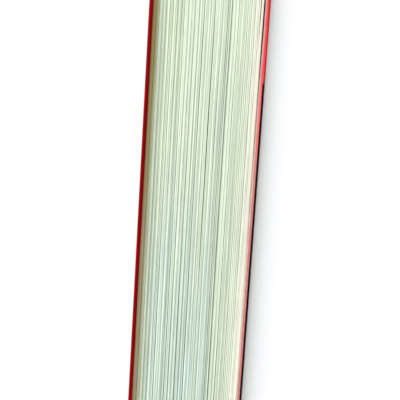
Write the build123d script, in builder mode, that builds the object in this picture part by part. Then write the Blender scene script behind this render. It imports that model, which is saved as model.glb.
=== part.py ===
from build123d import *
import os

# A thick paperback that lies on its back cover.
# X runs from the spine to the fore-edge, Y from the tail to the head, Z up through the leaves.
# The origin is under the middle of the book. Sizes are in millimetres.

# Leaves
page_height = 198.0  # tail to head, as trimmed
page_width = 129.0  # glued back to fore-edge, as trimmed
block_bulk = 44.0  # all leaves together, at the glued back
leaf_bundles = 44  # bundles of leaves whose edges stand apart
edge_relief = 0.35  # furthest that a bundle stands back from the trim
thin_bundle_share = 0.4  # thinnest bundle over the thickest one
spread_share = 0.618  # step that scatters the bundles' thickness and edges
fore_start_share = 0.15  # where the scatter starts at the fore-edge
head_start_share = 0.45  # where it starts at the head
tail_start_share = 0.80  # where it starts at the tail

# Cover card
card = 0.4  # thickness of the card
hinge_strip = 6.0  # outside of the spine to the scored crease
crease_gap = 0.2  # open width of the scored crease
crease_round = 0.15  # rounding of the card's outer edges along the crease
spine_radius = 0.8  # outside of the card's bend along the spine
fore_overhang = 1.6  # the cover's fold past the fore-edge of the leaves
flap_width = 85.0  # turned-in flap, from its fold to its free edge
fold_gap = 0.7  # inside width of the fold between panel and flap
flap_clearance = 0.1  # free edge of the flap to the panel, and flap to the leaves

# Adhesive
spine_glue = 0.6  # layer on the backs of the leaves
side_glue = 0.1  # film on the first and last leaf
glue_margin = 0.4  # the film stops this short of the crease

# Places along X
width = card + spine_glue + page_width + fore_overhang
spine_x = -width / 2
fore_x = width / 2
inner_spine_x = spine_x + card
back_x = inner_spine_x + spine_glue
trim_x = back_x + page_width
crease_x = spine_x + hinge_strip
strip_end_x = crease_x - crease_gap / 2
panel_start_x = crease_x + crease_gap / 2
fold_radius = card + fold_gap / 2
fold_x = fore_x - fold_radius
flap_end_x = fold_x - flap_width

# Places along Z
top_z = block_bulk + 2 * (side_glue + card)
middle_z = top_z / 2
inner_top_z = top_z - card
fold_z = top_z - fold_radius
flap_top_z = inner_top_z - fold_gap
flap_end_z = inner_top_z - flap_clearance

# The leaves are thickest at the back and give way to the flaps towards the fore-edge
back_half = block_bulk / 2
flap_end_half = flap_end_z - card - flap_clearance - middle_z
trim_half = flap_top_z - card - flap_clearance - middle_z


def scatter(index, start_share):
    """Share from 0 to 1 that jumps about from one bundle to the next."""
    return (index * index * spread_share + start_share) % 1


def half_thickness(x):
    """Half of the leaves' thickness between the flaps, at a distance along X."""
    return flap_end_half + (trim_half - flap_end_half) * (x - flap_end_x) / (trim_x - flap_end_x)


def leaf_line(level_share, end_x):
    """Points from the back to the fore-edge of a leaf that lies at a share of the thickness."""
    rise_share = 2 * level_share - 1
    return [
        (back_x, middle_z + rise_share * back_half),
        (panel_start_x, middle_z + rise_share * back_half),
        (flap_end_x, middle_z + rise_share * flap_end_half),
        (end_x, middle_z + rise_share * half_thickness(end_x)),
    ]


# Bundles differ in thickness, so their bounds are running sums over the whole
bundle_shares = [
    thin_bundle_share + (1 - thin_bundle_share) * scatter(index, 0) for index in range(leaf_bundles)
]
bound_shares = [
    sum(bundle_shares[:index]) / sum(bundle_shares) for index in range(leaf_bundles + 1)
]

# All leaves, one solid, with the bundles' edges stepped on the three trimmed sides
with BuildPart() as page_block:
    for index in range(leaf_bundles):
        end_x = trim_x - edge_relief * scatter(index, fore_start_share)
        head_y = page_height / 2 - edge_relief * scatter(index, head_start_share)
        tail_y = page_height / 2 - edge_relief * scatter(index, tail_start_share)
        lower_line = leaf_line(bound_shares[index], end_x)
        upper_line = leaf_line(bound_shares[index + 1], end_x)
        with BuildSketch(Plane.XZ.offset(-head_y)):
            with BuildLine():
                Polyline(*lower_line, *reversed(upper_line), close=True)
            make_face()
        extrude(amount=head_y + tail_y)

# Adhesive on the backs of the leaves, with a thin film on the first and last leaf
with BuildPart() as spine_glue_layer:
    with BuildSketch(Plane.XZ) as glue_section:
        film_end_x = strip_end_x - glue_margin
        with BuildLine():
            Polyline(
                (film_end_x, inner_top_z),
                (inner_spine_x, inner_top_z),
                (inner_spine_x, card),
                (film_end_x, card),
                (film_end_x, card + side_glue),
                (back_x, card + side_glue),
                (back_x, inner_top_z - side_glue),
                (film_end_x, inner_top_z - side_glue),
                close=True,
            )
        make_face()
        fillet(glue_section.vertices().group_by(Axis.X)[0], radius=spine_radius - card)
    extrude(amount=page_height / 2, both=True)

# Middle of the cover: the spine panel and the two glued hinge strips
with BuildPart() as spine_cover:
    with BuildSketch(Plane.XZ) as spine_section:
        with BuildLine():
            Polyline(
                (strip_end_x, top_z),
                (spine_x, top_z),
                (spine_x, 0),
                (strip_end_x, 0),
                (strip_end_x, card),
                (inner_spine_x, card),
                (inner_spine_x, inner_top_z),
                (strip_end_x, inner_top_z),
                close=True,
            )
        make_face()
        strip_ends = spine_section.vertices().group_by(Axis.X)[-1].sort_by(Axis.Y)
        fillet([strip_ends[0], strip_ends[-1]], radius=crease_round)
        fillet(spine_section.vertices().group_by(Axis.X)[1], radius=spine_radius - card)
        fillet(spine_section.vertices().group_by(Axis.X)[0], radius=spine_radius)
    extrude(amount=page_height / 2, both=True)

# Front panel of the cover, turned in at the fore-edge as a flap
with BuildPart() as front_cover:
    with BuildSketch(Plane.XZ) as cover_section:
        with BuildLine():
            Line((panel_start_x, top_z), (fold_x, top_z))
            ThreePointArc((fold_x, top_z), (fore_x, fold_z), (fold_x, flap_top_z - card))
            Polyline(
                (fold_x, flap_top_z - card),
                (flap_end_x, flap_end_z - card),
                (flap_end_x, flap_end_z),
                (fold_x, flap_top_z),
            )
            ThreePointArc((fold_x, flap_top_z), (fore_x - card, fold_z), (fold_x, inner_top_z))
            Polyline((fold_x, inner_top_z), (panel_start_x, inner_top_z), (panel_start_x, top_z))
        make_face()
        crease_corner = cover_section.vertices().group_by(Axis.X)[0].sort_by(Axis.Y)[-1]
        fillet(crease_corner, radius=crease_round)
    extrude(amount=page_height / 2, both=True)

# Back panel, the same piece on the other side of the leaves
with BuildPart() as back_cover:
    mirror(front_cover.part, about=Plane.XY.offset(middle_z))

pieces = {
    "page_block": page_block,
    "spine_glue": spine_glue_layer,
    "spine_cover": spine_cover,
    "front_cover": front_cover,
    "back_cover": back_cover,
}
os.makedirs("parts", exist_ok=True)
for name, piece in pieces.items():
    piece.part.label = name
    export_step(piece.part, f"parts/{name}.step")
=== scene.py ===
import math

import bpy
import numpy as np
from mathutils import Matrix, Vector


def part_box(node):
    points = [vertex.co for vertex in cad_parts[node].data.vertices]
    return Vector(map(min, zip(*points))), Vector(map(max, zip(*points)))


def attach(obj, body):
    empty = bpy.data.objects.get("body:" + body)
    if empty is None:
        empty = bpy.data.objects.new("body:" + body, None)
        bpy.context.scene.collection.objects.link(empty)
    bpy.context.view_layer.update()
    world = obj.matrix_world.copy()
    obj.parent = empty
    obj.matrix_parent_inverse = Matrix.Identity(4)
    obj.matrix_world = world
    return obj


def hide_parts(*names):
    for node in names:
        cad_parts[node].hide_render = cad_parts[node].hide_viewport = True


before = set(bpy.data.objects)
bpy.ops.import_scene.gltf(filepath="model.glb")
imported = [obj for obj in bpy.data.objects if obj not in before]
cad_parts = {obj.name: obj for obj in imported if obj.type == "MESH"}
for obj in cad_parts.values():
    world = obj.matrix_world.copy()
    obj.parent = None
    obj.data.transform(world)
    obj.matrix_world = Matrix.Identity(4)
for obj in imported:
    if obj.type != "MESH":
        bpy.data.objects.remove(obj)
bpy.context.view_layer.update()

# A thick paperback on its back cover, seen at its fore-edge.
# X runs from the spine to the fore-edge, Y from tail to head, Z up. Lengths are in metres.
MM = 0.001


def srgb(red, green, blue):
    """Scene colour of an 8-bit screen colour."""
    def linear(value):
        share = value / 255
        return share / 12.92 if share <= 0.04045 else ((share + 0.055) / 1.055) ** 2.4
    return (linear(red), linear(green), linear(blue), 1.0)


# Places of the solids
block_low, block_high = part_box("page_block")
cover_low, cover_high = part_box("front_cover")
spine_low, spine_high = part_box("spine_cover")
TOP = cover_high.z
HALF_HEIGHT = cover_high.y
BACK = block_low.x
TRIM = block_high.x
PANEL_START = cover_low.x
FORE = cover_high.x
SOLID_FOLD_RADIUS = (cover_high.z - cover_low.z) / 2

# Cover card
CARD = 0.4 * MM
FLAP_WIDTH = 85 * MM
FLAP_CLEARANCE = 0.1 * MM
FLAP_END = FORE - SOLID_FOLD_RADIUS - FLAP_WIDTH
SPINE_RADIUS = 0.8 * MM
CREASE_ROUND = 0.15 * MM
CREASE_CLEARANCE = 0.02 * MM
CUT_ROUND = 0.06 * MM
FRONT_FOLD_RADIUS = 0.65 * MM
BACK_FOLD_RADIUS = 1.05 * MM
HEAD_FOLD_RADIUS = 0.88 * MM  # the back fold is tighter near the head

# Rubbed print, and painted highlights where light falls on the folds
RUB_REACH = 0.8 * MM  # how far rubbed print reaches from an edge, and how far in from the front fold its painted highlight fades
RUB_END = 2.5 * MM  # width of the finer mesh beside an edge
END_RUB = 0.5  # rub of the print at the head and at the tail
FRONT_HIGHLIGHT = 0.6 * MM  # depth of the painted highlight along the top of the front fold, where light from above falls
FOLD_HIGHLIGHT_START = 1.08  # height at which the back fold's painted highlight sets in, over the fold's radius
FOLD_HIGHLIGHT_SPAN = 0.75  # height over which it sets in, over the fold's radius
WEAR_START = 45 * MM  # the back fold is more worn, and its painted highlight reaches further, from here towards the tail
WEAR_END = 0.0  # and most of all from here on
TAIL_HIGHLIGHT_REACH = 0.6 * MM  # how much further its painted highlight reaches onto the flap there, lighting the shade where the last leaves meet the fold
TAIL_HIGHLIGHT_RISE = 0.22 * MM  # how much higher that painted highlight sets in there
TAIL_HIGHLIGHT_SHARPENS = 0.4  # share by which it sets in over a shorter way
CREST_RUB = 0.5  # rub of its outermost line, along the black field
CREST_RISE = 1.1 * MM  # height of that line's upper edge
CREST_EDGE = CARD / 4  # half the height over which that line's lower edge sets in
CREST_BLUR = 6 * MM  # way along the fold over which that line sets in

# Print of the back cover: a black field below a red band at the head
BAND_EDGE = 49.8 * MM
BAND_SLANT = 3.0  # run of the field's edge towards the tail, over its climb up the fold
FIELD_RISE = 0.87 * MM  # height of the black field on the fold
FLAP_RED = 1.5 * MM  # how far in from the fore-edge the flap's deep red is full: its print, and just in from the fold painted shade in the gap under the last leaves
PRINT_BLUR = 0.04 * MM
FOLD_RED_RISE = (0.1 * MM, 0.5 * MM)  # heights between which the red brightens on the fold, up from painted shade on its underside by the floor

# Leaves, folded in signatures
SEED = 4336  # a draw whose light and dark leaves fall much as they do on this book
SIGNATURES = 30
SIGNATURE_LEAVES = 16
LEAVES = SIGNATURES * SIGNATURE_LEAVES
SIGNATURE_SCATTER = 0.15  # largest share of a signature's thickness that its bounds move by
BUNDLE_LEAVES = (4, 6)  # bundles of 4 or 5 leaves are lighter and darker by turns
LEAF_DEPTH = 0.06 * MM  # how far leaves stand back from the trim
SIGNATURE_DEPTH = 0.08 * MM  # how far whole signatures do
ROUND_DEPTH = 0.1 * MM  # how far a signature's outer leaves stand behind its middle ones
CLEFT_DEPTH = 0.9 * MM  # furthest that the leaves beside a cleft stand back
CLEFT_SHADE = 0.95  # share of the light that a fully open cleft takes away
SLIGHT_CLEFT = (0.2, 0.5)  # openings of the clefts that aren't named
WIDE_CLEFT = 0.5  # opening from which a cleft takes in the next leaf on either side
LEAF_TONE = 0.085  # spread of the tones of single leaves
BUNDLE_TONE = 0.127  # how much lighter or darker than the mean a bundle is
BUNDLE_SPREAD = 0.5  # and the share by which that differs among bundles
SIGNATURE_TONE = 0.035  # spread of the tones of signatures
ROUND_TONE = 0.1  # how much lighter a signature's middle leaves are
TONE_BOUNDS = (0.5, 1.22)
OUTER_SPREAD = 0.4  # the first and last signature are more even
LAST_TONE = 1.05  # and the last one is lighter
TAIL_CONTRAST = 1.22  # power that parts light and dark leaves further at the tail
CONTRAST_PLACES = (-75 * MM, -5 * MM)  # places between which that power falls to 1
LEAF_DEPTH_LENGTH = 120 * MM  # lengths over which depths and tones swell and fade once
LEAF_TONE_LENGTH = 100 * MM
BUNDLE_LENGTH = 120 * MM
SIGNATURE_LENGTH = 200 * MM
STREAK_RATES = (0.5, 1.5)  # how much faster or slower than that they may do so
STREAK_SWELL = 0.5  # share by which they swell and fade
LEAN = 0.0045  # rise of the leaves towards the head, for each metre along them
WAVE = 0.03 * MM  # height of the waves in the leaves
WAVE_RATE = 40.0  # turn of those waves in radians, for each metre along the leaves
WAVE_SHIFT = 5.0  # and from the last leaf to the first

# Clefts that stand out at the fore-edge: how many millimetres below the top of the book each one lies,
# and how open it is near the head, in the middle and near the tail
CLEFTS = (
    (5.1, 0.2, 0.4, 0.4),
    (9.1, 0.4, 0.3, 0.5),
    (10.8, 0.4, 0.5, 0.1),
    (13.5, 0.2, 0.3, 0.7),
    (14.9, 0.2, 0.4, 0.6),
    (16.3, 0.4, 0.5, 0.5),
    (17.6, 0.2, 0.4, 0.7),
    (19.0, 0.3, 0.2, 0.4),
    (20.9, 0.6, 0.6, 0.6),
    (24.9, 0.5, 1.0, 0.1),
    (26.1, 0.0, 0.1, 0.4),
    (27.6, 0.4, 0.6, 0.0),
    (29.7, 0.7, 0.6, 0.7),
    (31.1, 0.5, 0.6, 0.6),
    (33.8, 0.3, 0.3, 0.5),
    (37.2, 0.3, 0.5, 0.5),
    (39.9, 0.4, 0.6, 0.0),
)
CLEFT_STATIONS = (-75 * MM, 25 * MM, 75 * MM)  # places of those openings, from tail to head

# The last leaves stand off the back cover near the head
GAPE = 0.33 * MM
GAPE_START = 36 * MM
GAPE_FULL = 70 * MM
GAPE_FADE = 4 * MM  # thickness of leaves over which the lift dies out
LOOSE_LEAVES = 9  # the very last ones part from the others
LOOSE_GAP = 0.3 * MM
LOOSE_START = 54 * MM
LOOSE_FULL = 76 * MM
LOOSE_CLEFT = 1.0  # opening of the cleft above them

# Towards the tail the last leaves splay out over the fold and settle on it
SPLAY = 0.9 * MM
SPLAY_START = 15 * MM
SPLAY_FULL = -35 * MM
SPLAY_LEAVES = 20.0  # leaves over which the splay dies out
SETTLE = 0.1 * MM
SETTLE_REACH = 2 * MM  # how far in from the trim they settle

# Fineness of the meshes
FORE_SPANS = 48
INNER_SPANS = 4
FLAP_SPANS = 9
COVER_SPANS = 40
PANEL_SPANS = 18
RUB_SPANS = 5
ARC_SPANS = 16
CREASE_SPANS = 4
HINGE_SPANS = 4
BEND_SPANS = 10
SPINE_SPANS = 16

# Material slots of the pages and of the card
EDGE_SLOT = 0
FLAT_SLOT = 1
PRINT_SLOT = 0
INSIDE_SLOT = 1
CUT_SLOT = 2

# Colours of the leaves' cut edges
PAPER_COOL = srgb(210, 227, 215)
PAPER_PALE = srgb(224, 236, 215)
TINT_DRIFT = 2.0  # how much paler the paper turns towards the head, for each metre
TINT_BOUNDS = (0.15, 0.65)
LEAF_SHADE = (0.0, 0.09, 0.0, 1.0)  # green light left in the shade between leaves
WHITE = (1.0, 1.0, 1.0, 1.0)

# Zones near the back cover, paler and warmer: partly the paper's own tone, partly painted warm light
# reflected from the red back cover; the heights between which each one fades out, and its colour
BACK_TINT_AND_BOUNCE_ZONES = (
    (8.0 * MM, 18.0 * MM, srgb(226, 238, 216)),  # ivory
    (3.5 * MM, 9.5 * MM, srgb(240, 245, 228)),  # cream
    (1.8 * MM, 4.8 * MM, srgb(249, 244, 231)),  # warm white
)

# Painted shade under the front cover's overhang, darkest and browner nearest the cover: the depths below
# the top between which each zone sets in, and its colours at the head and at the tail
FRONT_SHADE_ZONES = (
    (17.0 * MM, 7.0 * MM, srgb(218, 230, 204), srgb(215, 229, 214)),  # haze
    (7.8 * MM, 3.8 * MM, srgb(199, 210, 187), srgb(199, 210, 187)),  # dusk
    (4.4 * MM, 2.9 * MM, srgb(138, 138, 90), srgb(156, 154, 122)),  # olive
    (2.8 * MM, 1.4 * MM, srgb(144, 103, 65), srgb(160, 131, 94)),  # brown
)
ZONE_PLACES = (-60 * MM, 75 * MM)  # places of their tail and head colours

# Colours of the other surfaces
PAGE_DARK = srgb(222, 230, 210)
PAGE_LIGHT = srgb(230, 235, 217)
PAGE_FLECK = srgb(196, 202, 180)
DEEP_RED = srgb(122, 2, 4)
# Rubbed deep red, which also paints the highlight along the top of the front fold
DEEP_RED_RUBBED_AND_LIT = srgb(255, 50, 54)
# Red low on the back fold, darkened as painted shade where the fold turns under to the floor
SHADED_FACE_RED = srgb(158, 22, 32)
FOLD_RED = srgb(252, 82, 90)
WORN_RED = srgb(208, 88, 90)
FIELD_BLACK = srgb(28, 21, 33)
# The flap's deep red print, darker than the fold, which also paints the shade in the gap under the last
# leaves
FLAP_RED_AND_GAP_SHADE = srgb(110, 6, 10)
# Pale reds of the back fold, at the head and towards the tail: rubbed print, and the painted highlight on
# its top
FOLD_RUBBED_AND_LIT = srgb(252, 186, 178)
FOLD_WORN_AND_LIT = srgb(255, 214, 204)
INSIDE_LIGHT = srgb(236, 235, 228)
INSIDE_DARK = srgb(222, 220, 211)
CUT_LIGHT = srgb(240, 230, 224)
CUT_DARK = srgb(214, 190, 182)
GLUE_DARK = srgb(228, 216, 184)
GLUE_LIGHT = srgb(240, 232, 206)
FLOOR_DARK = srgb(229, 229, 232)
FLOOR_LIGHT = srgb(233, 233, 236)

# Grain of the surfaces, in waves per metre along X, Y and Z
EDGE_NICKS = (70, 70, 3600)
EDGE_STREAKS = (5, 5, 2600)
EDGE_TINT = (12, 12, 420)
PAGE_FIBRE = (900, 900, 900)
PAGE_CLOUD = (24, 24, 24)
PRINT_MARKS = (380, 380, 380)
PRINT_CLOUD = (16, 16, 16)
PRINT_PEEL = (1500, 1500, 1500)
CARD_FIBRE = (1100, 1100, 1100)
CARD_CLOUD = (20, 20, 20)
GLUE_FLOW = (90, 30, 90)
FLOOR_GRAIN = (60, 60, 60)

# Bounds that a noise is ramped between, and what it then does to tone, share or roughness
NOISE_BOUNDS = (0.25, 0.75)
FIBRE_BOUNDS = (0.3, 0.7)
GLUE_BOUNDS = (0.3, 0.7)
RUB_BOUNDS = (0.2, 0.6)
GLOSS_BOUNDS = (0.3, 0.75)
NICK_TONES = (0.88, 1.12)
STREAK_TONES = (0.92, 1.08)
PRINT_TONES = (0.9, 1.06)
CARD_TONES = (0.95, 1.02)
FLECK_SHARES = (0.0, 0.15)
RUB_SHARES = (0.5, 1.0)
PRINT_ROUGHNESS = (0.42, 0.6)
GLUE_ROUGHNESS = (0.3, 0.5)

# Depth of the relief that is too fine for the meshes
EDGE_RELIEF = 0.04 * MM
PAGE_RELIEF = 0.05 * MM
PRINT_RELIEF = 0.04 * MM
CARD_RELIEF = 0.05 * MM
GLUE_RELIEF = 0.1 * MM

# Light and camera, with angles in degrees
FLOOR_SIDE = 12.0
FLOOR_DROP = 0.05 * MM
FILL_STRENGTH = 0.46
SKY_ELEVATION = 60.0
SKY_DISTANCE = 4.0
SKY_SIZE = (7.2, 4.16)
SKY_POWER = 207.0
FRONT_PLACE = (0.9, 0.6, 0.27)
FRONT_SIZE = (1.2, 0.3)
FRONT_POWER = 6.8
PHOTO_FOCAL = 556.0  # pixels
PHOTO_SIDE = 400.0  # pixels
SENSOR = 36.0  # millimetres, as Blender gives lenses
CLIP_START = 10 * MM
CAMERA_DISTANCE = 212.0 * MM
CAMERA_HEIGHT = 21.44 * MM
CAMERA_ALONG = 23.5 * MM
CAMERA_TILT = -5.572
CAMERA_ROLL = 3.66


# Node materials

class Shader:
    """A material's node tree, with one call to add a node, set it and link it."""

    def __init__(self, name):
        self.material = bpy.data.materials.new(name)
        self.material.use_nodes = True
        self.tree = self.material.node_tree
        self.surface = self.tree.nodes["Principled BSDF"]
        self.coords = self.add("ShaderNodeTexCoord").outputs["Object"]

    def feed(self, socket, value):
        """Links a socket to the one that feeds it, or sets it to a number or colour."""
        if isinstance(value, bpy.types.NodeSocket):
            self.tree.links.new(value, socket)
        elif socket.type == "VECTOR":
            socket.default_value = value[:3]
        else:
            socket.default_value = value

    def add(self, kind, inputs=None, **settings):
        """Adds a node with its settings and inputs."""
        node = self.tree.nodes.new(kind)
        for key, value in settings.items():
            setattr(node, key, value)
        for socket, value in (inputs or {}).items():
            self.feed(node.inputs[socket], value)
        return node

    def set(self, **inputs):
        """Feeds sockets of the surface, with underscores for the spaces in their names."""
        for name, value in inputs.items():
            self.feed(self.surface.inputs[name.replace("_", " ")], value)

    def noise(self, scale, detail=2.0, roughness=0.5):
        """Noise whose grain has its own fineness along X, Y and Z, in waves per metre."""
        place = self.add("ShaderNodeMapping", {"Vector": self.coords, "Scale": scale})
        inputs = {"Vector": place.outputs[0], "Scale": 1.0, "Detail": detail, "Roughness": roughness}
        return self.add("ShaderNodeTexNoise", inputs).outputs["Fac"]

    def axis(self, name):
        """One coordinate in the book's frame."""
        return self.add("ShaderNodeSeparateXYZ", {0: self.coords}).outputs[name]

    def attribute(self, name):
        """A value kept on the mesh's points."""
        return self.add("ShaderNodeAttribute", attribute_name=name).outputs["Fac"]

    def math(self, operation, first, second):
        """Arithmetic on two values."""
        return self.add("ShaderNodeMath", {0: first, 1: second}, operation=operation).outputs[0]

    def ramp(self, value, low, high, to_low=0.0, to_high=1.0):
        """Smooth passage of a value between two bounds."""
        inputs = {"Value": value, "From Min": low, "From Max": high, "To Min": to_low, "To Max": to_high}
        return self.add("ShaderNodeMapRange", inputs, interpolation_type="SMOOTHSTEP").outputs[0]

    def mix(self, share, first, second):
        """Two colours mixed by a share, which may pass 1. The node's colour sockets go by number."""
        node = self.add("ShaderNodeMix", data_type="RGBA", clamp_factor=False)
        for index, value in ((0, share), (6, first), (7, second)):
            self.feed(node.inputs[index], value)
        return node.outputs[2]

    def scaled(self, colour, factor):
        """A colour times a value or another colour."""
        return self.add("ShaderNodeVectorMath", {0: colour, 1: factor}, operation="MULTIPLY").outputs[0]

    def bump(self, height, strength, distance):
        """Relief too fine for the mesh."""
        inputs = {"Height": height, "Strength": strength, "Distance": distance}
        return self.add("ShaderNodeBump", inputs).outputs[0]


def page_edge_material():
    """Cut edges of the leaves: fine streaks, painted shade under the front cover's overhang, and paler,
    warmer paper near the back cover, partly painted light reflected from it.
    """
    shader = Shader("page_edges")
    along = shader.axis("Y")
    height = shader.axis("Z")
    nicks = shader.noise(EDGE_NICKS, detail=3.0, roughness=0.6)
    streaks = shader.noise(EDGE_STREAKS)
    drift = shader.math("MULTIPLY", along, TINT_DRIFT)
    tint = shader.ramp(shader.math("ADD", shader.noise(EDGE_TINT), drift), *TINT_BOUNDS)
    paper = shader.mix(tint, PAPER_COOL, PAPER_PALE)
    # Paler and warmer near the back cover: paper tone, and painted light reflected from the cover
    for low, high, colour in BACK_TINT_AND_BOUNCE_ZONES:
        paper = shader.mix(shader.ramp(height, low, high, 1.0, 0.0), paper, colour)
    to_tail = shader.ramp(along, *ZONE_PLACES, 1.0, 0.0)
    # Painted shade under the front cover's overhang
    for start, full, at_head, at_tail in FRONT_SHADE_ZONES:
        colour = shader.mix(to_tail, at_head, at_tail)
        paper = shader.mix(shader.ramp(height, TOP - start, TOP - full), paper, colour)
    contrast = shader.ramp(along, *CONTRAST_PLACES, TAIL_CONTRAST, 1.0)
    tone = shader.math("POWER", shader.attribute("tone"), contrast)
    tone = shader.math("MULTIPLY", tone, shader.ramp(nicks, *NOISE_BOUNDS, *NICK_TONES))
    tone = shader.math("MULTIPLY", tone, shader.ramp(streaks, *NOISE_BOUNDS, *STREAK_TONES))
    shade = shader.mix(tone, LEAF_SHADE, WHITE)
    shader.set(Base_Color=shader.scaled(paper, shade), Roughness=0.85, Specular_IOR_Level=0.15)
    shader.set(Normal=shader.bump(nicks, strength=0.25, distance=EDGE_RELIEF))
    return shader.material


def page_face_material():
    """Flat of the first and last leaf: uncoated book paper."""
    shader = Shader("page_faces")
    fibre = shader.noise(PAGE_FIBRE, detail=4.0, roughness=0.7)
    cloud = shader.noise(PAGE_CLOUD)
    paper = shader.mix(cloud, PAGE_DARK, PAGE_LIGHT)
    paper = shader.mix(shader.ramp(fibre, *FIBRE_BOUNDS, *FLECK_SHARES), paper, PAGE_FLECK)
    shader.set(Base_Color=paper, Roughness=0.88, Specular_IOR_Level=0.2)
    shader.set(Normal=shader.bump(fibre, strength=0.25, distance=PAGE_RELIEF))
    return shader.material


def print_finish(shader, colour, rubbed_and_lit):
    """Matt laminated print: faint clouds, fine handling marks, and paler card where it is rubbed, which
    also carries the painted highlights on the folds.
    """
    marks = shader.noise(PRINT_MARKS, detail=5.0, roughness=0.75)
    cloud = shader.noise(PRINT_CLOUD, detail=3.0)
    peel = shader.noise(PRINT_PEEL)
    colour = shader.scaled(colour, shader.ramp(cloud, *NOISE_BOUNDS, *PRINT_TONES))
    # The rub on the points also holds the painted highlights on the folds
    rub = shader.math("MULTIPLY", shader.attribute("rub"), shader.ramp(marks, *RUB_BOUNDS, *RUB_SHARES))
    colour = shader.mix(rub, colour, rubbed_and_lit)
    shader.set(Base_Color=colour, Roughness=shader.ramp(marks, *GLOSS_BOUNDS, *PRINT_ROUGHNESS))
    shader.set(Specular_IOR_Level=0.05)
    shader.set(Normal=shader.bump(peel, strength=0.1, distance=PRINT_RELIEF))
    return shader.material


def red_print_material():
    """Deep red of the front cover and the spine."""
    return print_finish(Shader("red_print"), DEEP_RED, DEEP_RED_RUBBED_AND_LIT)


def back_print_material():
    """Brighter red of the back cover, with its black field on the outside, painted shade low on its fold
    and beside it on the flap, and a painted highlight on the fold's top.
    """
    shader = Shader("back_print")
    along = shader.axis("Y")
    height = shader.axis("Z")
    slant = shader.math("MULTIPLY", height, BAND_SLANT)
    into_field = shader.math("SUBTRACT", BAND_EDGE, shader.math("ADD", along, slant))
    below_band = shader.ramp(into_field, -PRINT_BLUR, PRINT_BLUR)
    outside = shader.ramp(height, FIELD_RISE - PRINT_BLUR, FIELD_RISE + PRINT_BLUR, 1.0, 0.0)
    field = shader.math("MULTIPLY", below_band, outside)
    inland = shader.ramp(shader.axis("X"), FORE - FLAP_RED, FORE - BACK_FOLD_RADIUS, 1.0, 0.0)
    on_flap = shader.math("MULTIPLY", shader.ramp(height, CARD, 2 * CARD), inland)
    towards_tail = shader.ramp(along, WEAR_END, WEAR_START, 1.0, 0.0)
    # Painted shade on the underside of the fold, brightening up it
    red = shader.mix(shader.ramp(height, *FOLD_RED_RISE), SHADED_FACE_RED, FOLD_RED)
    red = shader.mix(towards_tail, red, WORN_RED)
    colour = shader.mix(field, red, FIELD_BLACK)
    # The flap's deep red, which just in from the fold is painted shade in the gap under the last leaves
    colour = shader.mix(on_flap, colour, FLAP_RED_AND_GAP_SHADE)
    # The rubbed colours also paint the highlight on the fold's top
    return print_finish(shader, colour, shader.mix(towards_tail, FOLD_RUBBED_AND_LIT, FOLD_WORN_AND_LIT))


def card_material(name, light, dark):
    """Bare white card: the inside of the cover, or its cut edge."""
    shader = Shader(name)
    fibre = shader.noise(CARD_FIBRE, detail=4.0, roughness=0.7)
    cloud = shader.noise(CARD_CLOUD)
    colour = shader.mix(shader.ramp(fibre, *FIBRE_BOUNDS), light, dark)
    colour = shader.scaled(colour, shader.ramp(cloud, *NOISE_BOUNDS, *CARD_TONES))
    shader.set(Base_Color=colour, Roughness=0.75, Specular_IOR_Level=0.3)
    shader.set(Normal=shader.bump(fibre, strength=0.2, distance=CARD_RELIEF))
    return shader.material


def glue_material():
    """Set hot-melt adhesive."""
    shader = Shader("set_glue")
    flow = shader.noise(GLUE_FLOW, detail=3.0)
    shader.set(Base_Color=shader.mix(flow, GLUE_DARK, GLUE_LIGHT))
    shader.set(Roughness=shader.ramp(flow, *GLUE_BOUNDS, *GLUE_ROUGHNESS))
    shader.set(Normal=shader.bump(flow, strength=0.3, distance=GLUE_RELIEF))
    return shader.material


def floor_material():
    """Pale paper backdrop."""
    shader = Shader("pale_floor")
    grain = shader.noise(FLOOR_GRAIN, detail=3.0)
    shader.set(Base_Color=shader.mix(grain, FLOOR_DARK, FLOOR_LIGHT))
    shader.set(Roughness=0.8, Specular_IOR_Level=0.1)
    return shader.material


# Meshes

def make_piece(name, points, faces, materials, face_slots, attributes, smooth_slots=()):
    """A mesh object with a material for each face and named values on its points."""
    mesh = bpy.data.meshes.new(name)
    mesh.from_pydata(points, [], faces)
    for material in materials:
        mesh.materials.append(material)
    mesh.polygons.foreach_set("material_index", face_slots)
    mesh.polygons.foreach_set("use_smooth", [slot in smooth_slots for slot in face_slots])
    for key, values in attributes.items():
        mesh.attributes.new(key, "FLOAT", "POINT").data.foreach_set("value", values)
    mesh.update()
    piece = bpy.data.objects.new(name, mesh)
    bpy.context.scene.collection.objects.link(piece)
    return piece


def smoothstep(value, low, high):
    """Share from 0 to 1 as a value passes from low to high."""
    share = np.clip((value - low) / (high - low), 0, 1)
    return share * share * (3 - 2 * share)


# Leaves

def gape_along(y):
    """Share of the last leaves' lift along the fore-edge."""
    return smoothstep(y, GAPE_START, GAPE_FULL)


def gape_across(x):
    """Share of the last leaves' lift from the flap's free edge out to the fore-edge."""
    return smoothstep(x, FLAP_END, TRIM)


def loose_along(y):
    """Share of the loose leaves' gap along the fore-edge."""
    return smoothstep(y, LOOSE_START, LOOSE_FULL)


def back_fold_radius(y):
    """Radius of the back cover's fold along the book, tighter where the last leaves lift."""
    return BACK_FOLD_RADIUS + gape_along(y) * (HEAD_FOLD_RADIUS - BACK_FOLD_RADIUS)


def splay(leaf, y):
    """Share of the splay at a leaf, counted from the back cover, along the fore-edge."""
    return np.exp(-leaf / SPLAY_LEAVES) * smoothstep(-y, -SPLAY_START, -SPLAY_FULL)


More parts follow.
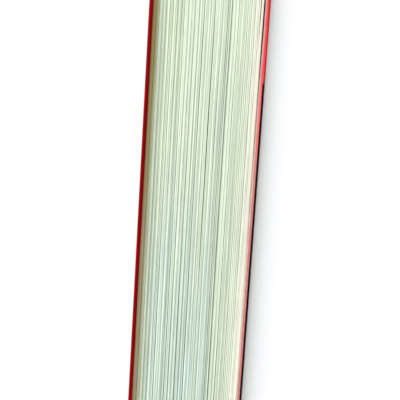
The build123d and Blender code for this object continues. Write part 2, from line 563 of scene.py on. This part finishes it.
def leaf_height(share, x, y, loose_top):
    """Height of the bound between two leaves, at a share of the thickness, over the page's plane."""
    stations = [BACK, PANEL_START, FLAP_END]
    flap_end_depth = 2 * CARD + 2 * FLAP_CLEARANCE
    on_flap = np.clip((x - FLAP_END) / (TRIM - FLAP_END), 0, 1)
    back_depth = 2 * back_fold_radius(y) + FLAP_CLEARANCE
    front_depth = 2 * FRONT_FOLD_RADIUS + FLAP_CLEARANCE
    low = np.interp(x, stations, [block_low.z, block_low.z, flap_end_depth])
    low = low + on_flap * (back_depth - flap_end_depth)
    high = np.interp(x, stations, [block_high.z, block_high.z, TOP - flap_end_depth])
    high = high - on_flap * (front_depth - flap_end_depth)
    outward = smoothstep(x, BACK, TRIM)
    drift = LEAN * y + WAVE * np.sin(WAVE_RATE * y + WAVE_SHIFT * share)
    above = share * (high - low)
    lift = GAPE * gape_along(y) + np.where(share > loose_top, LOOSE_GAP, 0) * loose_along(y)
    lift = lift * gape_across(x) * np.exp(-above / GAPE_FADE)
    settle = SETTLE * splay(share * LEAVES, y) * smoothstep(x, TRIM - SETTLE_REACH, TRIM)
    return low + above + outward * np.sqrt(np.sin(np.pi * share)) * drift + lift - settle


def signature_bounds(rng):
    """Shares of the thickness at which the signatures meet, and the openings of the clefts there."""
    steps = np.arange(1, SIGNATURES) + rng.uniform(-SIGNATURE_SCATTER, SIGNATURE_SCATTER, SIGNATURES - 1)
    bounds = steps / SIGNATURES
    low = 2 * BACK_FOLD_RADIUS
    high = TOP - 2 * FRONT_FOLD_RADIUS
    openings = rng.uniform(*SLIGHT_CLEFT, (SIGNATURES - 1, len(CLEFT_STATIONS)))
    free = np.ones(len(bounds), bool)
    for below_top, *opening in CLEFTS:
        share = (TOP - below_top * MM - low) / (high - low)
        nearest = np.argmin(np.where(free, np.abs(bounds - share), np.inf))
        free[nearest] = False
        bounds[nearest] = share
        openings[nearest] = opening[::-1]
    return np.concatenate([[0], np.sort(bounds), [1]]), openings[np.argsort(bounds)]


def leaf_bundles(rng):
    """Index of the bundle that each leaf keeps to."""
    sizes = rng.integers(*BUNDLE_LEAVES, LEAVES)
    return np.repeat(np.arange(LEAVES), sizes)[:LEAVES]


def streaks(rng, groups, spread, length, stations):
    """Random values that groups of leaves share, which swell and fade along an edge."""
    count = groups[-1] + 1
    phase = rng.uniform(0, 2 * np.pi, (count, 1))
    rate = rng.uniform(*STREAK_RATES, (count, 1)) * 2 * np.pi / length
    swell = 1 + STREAK_SWELL * np.sin(phase + rate * stations)
    return (spread * rng.normal(0, 1, (count, 1)) * swell)[groups]


def cleft_relief(openings, loose, columns):
    """How far each leaf gives way to the clefts beside it, along one edge."""
    cleft = np.zeros((LEAVES, columns))
    for index, opening in enumerate(openings, 1):
        first = index * SIGNATURE_LEAVES
        cleft[first - 1:first + 1] = opening
        cleft[[first - 2, first + 1]] = np.maximum(0, (opening - WIDE_CLEFT) / (1 - WIDE_CLEFT))
    cleft[LOOSE_LEAVES] = LOOSE_CLEFT * loose
    return cleft


def edge_relief(rng, bundles, openings, loose, stations):
    """How far each leaf stands back from the trim, and how light it is, along one edge, with painted shade
    beside the clefts.
    """
    leaves = np.arange(LEAVES)
    signatures = leaves // SIGNATURE_LEAVES
    middle = np.sin(np.pi * (leaves % SIGNATURE_LEAVES + 0.5) / SIGNATURE_LEAVES)[:, None]
    turns = np.where(bundles % 2, 1, -1)[:, None]
    cleft = cleft_relief(openings, loose, len(stations))
    leaf_depth = streaks(rng, leaves, LEAF_DEPTH, LEAF_DEPTH_LENGTH, stations)
    signature_depth = streaks(rng, signatures, SIGNATURE_DEPTH, SIGNATURE_LENGTH, stations)
    leaf_tone = streaks(rng, leaves, LEAF_TONE, LEAF_TONE_LENGTH, stations)
    bundle_spread = streaks(rng, bundles, BUNDLE_SPREAD, BUNDLE_LENGTH, stations)
    signature_tone = streaks(rng, signatures, SIGNATURE_TONE, SIGNATURE_LENGTH, stations)
    depth = np.abs(leaf_depth) + np.abs(signature_depth)
    depth += ROUND_DEPTH * (1 - middle) + CLEFT_DEPTH * cleft
    tone = 1 + leaf_tone + turns * BUNDLE_TONE * (1 + bundle_spread)
    tone += signature_tone + ROUND_TONE * (middle - middle.mean())
    tone[:SIGNATURE_LEAVES] = LAST_TONE + OUTER_SPREAD * (tone[:SIGNATURE_LEAVES] - 1)
    tone[-SIGNATURE_LEAVES:] = 1 + OUTER_SPREAD * (tone[-SIGNATURE_LEAVES:] - 1)
    # Leaves beside an open cleft are painted darker, for the shade inside it
    return depth, np.clip(tone, *TONE_BOUNDS) * (1 - CLEFT_SHADE * cleft)


def side_stations():
    """Places along the head and tail edges, from the spine out to the trim."""
    return np.concatenate([
        [BACK],
        np.linspace(PANEL_START, FLAP_END, INNER_SPANS, endpoint=False),
        np.linspace(FLAP_END, TRIM - SETTLE_REACH, FLAP_SPANS + 1),
        [TRIM],
    ])


def edge_faces(columns):
    """Faces from each row of points round the leaves to the next row, closed along the spine."""
    faces = []
    for start in range(0, (2 * LEAVES - 1) * columns, columns):
        above = start + columns
        faces += [(start + c, start + c + 1, above + c + 1, above + c) for c in range(columns - 1)]
        faces.append((start + columns - 1, start, above, above + columns - 1))
    return faces


def add_flat(points, row, share, side_x, fore_y, loose_top):
    """Adds the points inside an outer leaf's flat, and gives its faces, turned up."""
    sides = len(side_x)
    columns = 2 * sides + FORE_SPANS - 1
    start = row * columns
    grid = np.zeros((sides, FORE_SPANS + 1), int)
    grid[:, 0] = start + np.arange(sides)
    grid[:, -1] = start + columns - 1 - np.arange(sides)
    grid[-1, 1:-1] = start + sides + np.arange(FORE_SPANS - 1)
    for i in range(1, sides - 1):
        for j in range(1, FORE_SPANS):
            grid[i, j] = len(points)
            height = leaf_height(share, side_x[i], fore_y[j], loose_top)
            points.append((side_x[i], fore_y[j], float(height)))
    flats = [(grid[0, 0], *grid[1], grid[0, -1])]
    for i in range(1, sides - 1):
        for j in range(FORE_SPANS):
            flats.append((grid[i, j], grid[i + 1, j], grid[i + 1, j + 1], grid[i, j + 1]))
    return [tuple(int(index) for index in face) for face in flats]


def page_edges(side_x, fore_y):
    """The signatures' bounds, each leaf's depths at tail, fore-edge and head, and its tones along them."""
    rng = np.random.default_rng(SEED)
    bounds, openings = signature_bounds(rng)
    bundles = leaf_bundles(rng)
    along = np.array([np.interp(fore_y, CLEFT_STATIONS, opening) for opening in openings])
    fore_depth, fore_tone = edge_relief(rng, bundles, along, loose_along(fore_y), fore_y)
    head_depth, head_tone = edge_relief(rng, bundles, openings[:, -1:], gape_across(side_x), side_x)
    tail_depth, tail_tone = edge_relief(rng, bundles, openings[:, :1], 0, side_x)
    tones = np.concatenate([tail_tone, fore_tone[:, 1:-1], head_tone[:, ::-1]], 1)
    return bounds, (tail_depth, fore_depth, head_depth), tones


def page_rows(side_x, fore_y, bounds, depths):
    """Rows of points round the leaves, and the share of the thickness at which the loose leaves part."""
    # Each row goes along the tail, up the fore-edge and back along the head
    tail_depth, fore_depth, head_depth = depths
    sides = len(side_x)
    path_x = np.concatenate([side_x, np.full(FORE_SPANS - 1, TRIM), side_x[::-1]])
    path_y = np.concatenate([np.full(sides, -HALF_HEIGHT), fore_y[1:-1], np.full(sides, HALF_HEIGHT)])
    columns = len(path_x)
    x = np.tile(path_x, (LEAVES, 1))
    y = np.tile(path_y, (LEAVES, 1))
    fore_splay = SPLAY * splay(np.arange(LEAVES)[:, None], fore_y)
    x[:, sides - 1:columns - sides + 1] += fore_splay - fore_depth
    y[:, :sides] += tail_depth
    y[:, columns - sides:] -= head_depth[:, ::-1]

    # A leaf has two rows, at the bounds below and above it
    leaf_steps = np.arange(LEAVES + 1) / SIGNATURE_LEAVES
    shares = np.interp(leaf_steps, np.arange(SIGNATURES + 1), bounds)[:, None]
    loose_top = shares[LOOSE_LEAVES, 0]
    heights = leaf_height(shares, path_x, path_y, loose_top)
    rows = np.empty((2 * LEAVES, columns, 3))
    rows[0::2] = np.stack([x, y, heights[:-1]], 2)
    rows[1::2] = np.stack([x, y, heights[1:]], 2)
    return rows, loose_top


def build_pages():
    """The leaves as one closed mesh: every leaf's edge on three sides, and the flats of the outer two."""
    side_x = side_stations()
    fore_y = np.linspace(-HALF_HEIGHT, HALF_HEIGHT, FORE_SPANS + 1)
    bounds, depths, leaf_tones = page_edges(side_x, fore_y)
    rows, loose_top = page_rows(side_x, fore_y, bounds, depths)
    points = rows.reshape(-1, 3).tolist()
    point_tones = np.repeat(leaf_tones, 2, 0).reshape(-1).tolist()
    faces = edge_faces(rows.shape[1])
    face_slots = [EDGE_SLOT] * len(faces)
    lower_flat = add_flat(points, 0, 0.0, side_x, fore_y, loose_top)
    upper_flat = add_flat(points, len(rows) - 1, 1.0, side_x, fore_y, loose_top)
    faces += [face[::-1] for face in lower_flat] + upper_flat
    face_slots += [FLAT_SLOT] * (len(faces) - len(face_slots))
    point_tones += [1.0] * (len(points) - len(point_tones))
    materials = [page_edge_material(), page_face_material()]
    return make_piece("pages", points, faces, materials, face_slots, {"tone": point_tones})


# Cover card

def arc(centre, radius, start, end, spans):
    """Points and outward normals round an arc in the XZ plane, angles in degrees from +X."""
    angles = np.radians(np.linspace(start, end, spans + 1))
    normals = np.stack([np.cos(angles), np.sin(angles)], 1)
    return np.array(centre) + radius * normals, normals


def crease(centre, start, end, reach=0.0):
    """The rounded end of a panel, with vectors through the card to an inner face that may reach past it."""
    points, normals = arc(centre, CREASE_ROUND, start, end, CREASE_SPANS)
    inner_z = CARD if centre[1] < TOP / 2 else TOP - CARD
    return points, np.stack([-reach * normals[:, 0], points[:, 1] - inner_z], 1) / CARD


def run(start, end, spans, normal):
    """Points along a straight stretch of card, with their outward normal."""
    share = np.linspace(0, 1, spans + 1)[:, None]
    points = np.array(start) * (1 - share) + np.array(end) * share
    return points, np.tile(np.array(normal, float), (spans + 1, 1))


def joined(stretches):
    """Stretches of card one after the other, without the points that they share."""
    points = [stretches[0][0]] + [stretch[0][1:] for stretch in stretches[1:]]
    normals = [stretches[0][1]] + [stretch[1][1:] for stretch in stretches[1:]]
    return np.concatenate(points), np.concatenate(normals)


def cover_section(fold_radius):
    """A cover from its crease round the fold to the free edge of its flap, with its outside up."""
    fold_x = FORE - fold_radius
    rub_x = fold_x - RUB_END
    crease_x = PANEL_START + CREASE_ROUND
    fold_z = TOP - 2 * fold_radius
    flap_end_z = TOP - 2 * CARD - FLAP_CLEARANCE
    rub_z = fold_z + (flap_end_z - fold_z) * RUB_END / (fold_x - FLAP_END)
    return joined([
        crease((crease_x, TOP - CREASE_ROUND), 180, 90),
        run((crease_x, TOP), (rub_x, TOP), PANEL_SPANS, (0, 1)),
        run((rub_x, TOP), (fold_x, TOP), RUB_SPANS, (0, 1)),
        arc((fold_x, TOP - fold_radius), fold_radius, 90, -90, ARC_SPANS),
        run((fold_x, fold_z), (rub_x, rub_z), RUB_SPANS, (0, -1)),
        run((rub_x, rub_z), (FLAP_END, flap_end_z), PANEL_SPANS, (0, -1)),
    ])


def turned_over(section):
    """The same section with its outside down, in the same sense round the card."""
    points, normals = section
    return (points * [1, -1] + [0, TOP])[::-1], (normals * [1, -1])[::-1]


def front_section(y):
    """The front cover's section, the same all along the book."""
    return cover_section(FRONT_FOLD_RADIUS)


def back_section(y):
    """The back cover's section at a place along the book."""
    return turned_over(cover_section(back_fold_radius(y)))


def spine_section(y):
    """Hinge strip, spine panel and the other hinge strip, the same all along the book."""
    crease_x = spine_high.x - CREASE_ROUND
    reach = PANEL_START - spine_high.x - CREASE_CLEARANCE
    bend_x = spine_low.x + SPINE_RADIUS
    bend_z = TOP - SPINE_RADIUS
    return joined([
        crease((crease_x, CREASE_ROUND), 0, -90, reach),
        run((crease_x, 0), (bend_x, 0), HINGE_SPANS, (0, -1)),
        arc((bend_x, SPINE_RADIUS), SPINE_RADIUS, 270, 180, BEND_SPANS),
        run((spine_low.x, SPINE_RADIUS), (spine_low.x, bend_z), SPINE_SPANS, (-1, 0)),
        arc((bend_x, bend_z), SPINE_RADIUS, 180, 90, BEND_SPANS),
        run((bend_x, TOP), (crease_x, TOP), HINGE_SPANS, (0, 1)),
        crease((crease_x, TOP - CREASE_ROUND), 90, 0, reach),
    ])


def card_stations():
    """Places from tail to head at which a card has its sections, closer together at both ends."""
    ends = HALF_HEIGHT - np.array([0, CUT_ROUND, RUB_REACH, RUB_END])
    middle = np.linspace(-ends[-1], ends[-1], COVER_SPANS + 1)
    return np.concatenate([-ends[:-1], middle, ends[-2::-1]])


def card_faces(outer):
    """Faces of a card and their slots, from the outer points of its sections."""
    columns, count = outer.shape[:2]

    def at(layer, column, k):
        return (layer * columns + column) * count + k

    faces = []
    face_slots = []
    for c in range(columns - 1):
        for k in range(count - 1):
            faces.append((at(0, c, k), at(0, c, k + 1), at(0, c + 1, k + 1), at(0, c + 1, k)))
            faces.append((at(1, c, k), at(1, c + 1, k), at(1, c + 1, k + 1), at(1, c, k + 1)))
            face_slots += [PRINT_SLOT, INSIDE_SLOT]
        for k, order in ((0, 1), (count - 1, -1)):
            faces.append((at(0, c, k), at(0, c + 1, k), at(1, c + 1, k), at(1, c, k))[::order])
            face_slots.append(PRINT_SLOT if outer[c, k, 0] < FLAP_END else CUT_SLOT)
    for c, order in ((0, 1), (columns - 1, -1)):
        for k in range(count - 1):
            faces.append((at(0, c, k), at(1, c, k), at(1, c, k + 1), at(0, c, k + 1))[::order])
            face_slots.append(CUT_SLOT)
    return faces, face_slots


def build_card(name, section_at, materials, rub_and_highlight_at):
    """A sheet of card that follows sections in XZ from tail to head: print, inside and cut edges."""
    stations = card_stations()
    outer, normals = np.array([section_at(y) for y in stations]).swapaxes(0, 1)
    columns, count = outer.shape[:2]
    along = np.broadcast_to(stations[:, None], (columns, count))
    inset = np.zeros((columns, 1, 1))
    inset[[0, -1]] = CUT_ROUND
    layers = [np.insert(outer - normals * depth, 1, along, 2) for depth in (inset, CARD - inset)]
    points = np.stack(layers).reshape(-1, 3)
    faces, face_slots = card_faces(outer)
    end_rub = END_RUB * np.exp((np.abs(points[:, 1]) - HALF_HEIGHT) / RUB_REACH)
    # Rub at the ends, plus the rub and the painted highlights on the folds
    rub = np.clip(end_rub + rub_and_highlight_at(*points.T), 0, 1)
    attributes = {"rub": rub.tolist()}
    smooth_slots = (PRINT_SLOT, INSIDE_SLOT)
    return make_piece(name, points.tolist(), faces, materials, face_slots, attributes, smooth_slots)


def no_rub(x, y, z):
    """Print that is rubbed only at its ends."""
    return np.zeros(len(x))


def front_fold_highlight(x, y, z):
    """A painted highlight along the top of the front fold, where light from above falls on it."""
    on_fold = np.exp(np.minimum(x - (FORE - FRONT_FOLD_RADIUS), 0) / RUB_REACH)
    return on_fold * smoothstep(z, TOP - FRONT_HIGHLIGHT, TOP)


def back_fold_highlight_and_rub(x, y, z):
    """The top of the back fold is painted pale as a highlight where light from above falls, reaching
    further onto the flap towards the tail to light the shade under the last leaves; along the black field
    its outermost line is rubbed pale.
    """
    radius = back_fold_radius(y)
    towards_tail = 1 - smoothstep(y, WEAR_END, WEAR_START)
    on_fold = smoothstep(x + towards_tail * TAIL_HIGHLIGHT_REACH, FORE - radius - CARD, FORE - radius)
    start = FOLD_HIGHLIGHT_START * radius + towards_tail * TAIL_HIGHLIGHT_RISE
    span = FOLD_HIGHLIGHT_SPAN * radius * (1 - TAIL_HIGHLIGHT_SHARPENS * towards_tail)
    # Painted highlight on the fold's top, where light from above falls
    top = smoothstep(z, start, start + span)
    crest = smoothstep(z, FIELD_RISE - CREST_EDGE, FIELD_RISE + CREST_EDGE)
    crest = crest * (1 - smoothstep(z, CREST_RISE, CREST_RISE + CARD))
    crest = crest * (1 - smoothstep(y, BAND_EDGE - CREST_BLUR, BAND_EDGE))
    return on_fold * np.maximum(top, CREST_RUB * crest)


# Floor, lights and camera

def add_floor():
    """A plain pale floor under the book."""
    side = FLOOR_SIDE / 2
    corners = [(-side, -side, 0), (side, -side, 0), (side, side, 0), (-side, side, 0)]
    floor = make_piece("floor", corners, [(0, 1, 2, 3)], [floor_material()], [0], {})
    floor.location.z = -FLOOR_DROP


def add_softbox(name, place, size, power):
    """A rectangular soft light that faces the book, with its long side level."""
    lamp = bpy.data.lights.new(name, "AREA")
    lamp.shape = "RECTANGLE"
    lamp.size, lamp.size_y = size
    lamp.energy = power
    softbox = bpy.data.objects.new(name, lamp)
    softbox.location = place
    softbox.visible_camera = False
    softbox.rotation_euler = (-Vector(place)).to_track_quat("-Z", "Y").to_euler()
    bpy.context.scene.collection.objects.link(softbox)


def add_surround():
    """A surround that fills the shade softly, and is plain white behind the book."""
    world = bpy.data.worlds.new("studio")
    world.use_nodes = True
    bpy.context.scene.world = world
    tree = world.node_tree
    fill = tree.nodes["Background"]
    fill.inputs["Color"].default_value = WHITE
    fill.inputs["Strength"].default_value = FILL_STRENGTH
    backdrop = tree.nodes.new("ShaderNodeBackground")
    backdrop.inputs["Color"].default_value = WHITE
    path = tree.nodes.new("ShaderNodeLightPath")
    choose = tree.nodes.new("ShaderNodeMixShader")
    tree.links.new(path.outputs["Is Camera Ray"], choose.inputs[0])
    tree.links.new(fill.outputs[0], choose.inputs[1])
    tree.links.new(backdrop.outputs[0], choose.inputs[2])
    tree.links.new(choose.outputs[0], tree.nodes["World Output"].inputs["Surface"])


def add_lights():
    """A broad light above and behind the book, and a low one in front of it."""
    rise = math.radians(SKY_ELEVATION)
    sky_place = (-SKY_DISTANCE * math.cos(rise), 0, SKY_DISTANCE * math.sin(rise))
    add_softbox("sky", sky_place, SKY_SIZE, SKY_POWER)
    add_softbox("front", FRONT_PLACE, FRONT_SIZE, FRONT_POWER)


def add_camera():
    """Looks at the fore-edge from about half the book's thickness, with the front cover on the left."""
    lens = bpy.data.cameras.new("camera")
    lens.sensor_width = SENSOR
    lens.lens = PHOTO_FOCAL / PHOTO_SIDE * SENSOR
    lens.clip_start = CLIP_START
    # Right in the picture is down, and up in the picture is towards the head
    upright = Matrix(((0, 0, 1), (0, 1, 0), (-1, 0, 0)))
    tilt = Matrix.Rotation(math.radians(CAMERA_TILT), 3, "X")
    roll = Matrix.Rotation(math.radians(CAMERA_ROLL), 3, "Z")
    place = Vector((FORE + CAMERA_DISTANCE, CAMERA_ALONG, CAMERA_HEIGHT))
    camera = bpy.data.objects.new("camera", lens)
    camera.matrix_world = Matrix.Translation(place) @ (upright @ tilt @ roll).to_4x4()
    bpy.context.scene.collection.objects.link(camera)
    bpy.context.scene.camera = camera


# The book

def place_piece(piece, body, node):
    """A piece in the stead of a solid, which it hides, on its body."""
    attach(piece, body)
    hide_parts(node)


place_piece(build_pages(), "block", "page_block")
red_print = red_print_material()
back_print = back_print_material()
bare_card = [
    card_material("card_inside", INSIDE_LIGHT, INSIDE_DARK),
    card_material("card_cut", CUT_LIGHT, CUT_DARK),
]
front_card = build_card("front_card", front_section, [red_print, *bare_card], front_fold_highlight)
place_piece(front_card, "front_cover", "front_cover")
back_card = build_card("back_card", back_section, [back_print, *bare_card], back_fold_highlight_and_rub)
place_piece(back_card, "back_cover", "back_cover")
spine_card = build_card("spine_card", spine_section, [red_print, *bare_card], no_rub)
place_piece(spine_card, "block", "spine_cover")
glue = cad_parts["spine_glue"]
glue.data.materials.clear()
glue.data.materials.append(glue_material())

add_floor()
add_surround()
add_lights()
add_camera()
bpy.context.scene.view_settings.view_transform = "Standard"
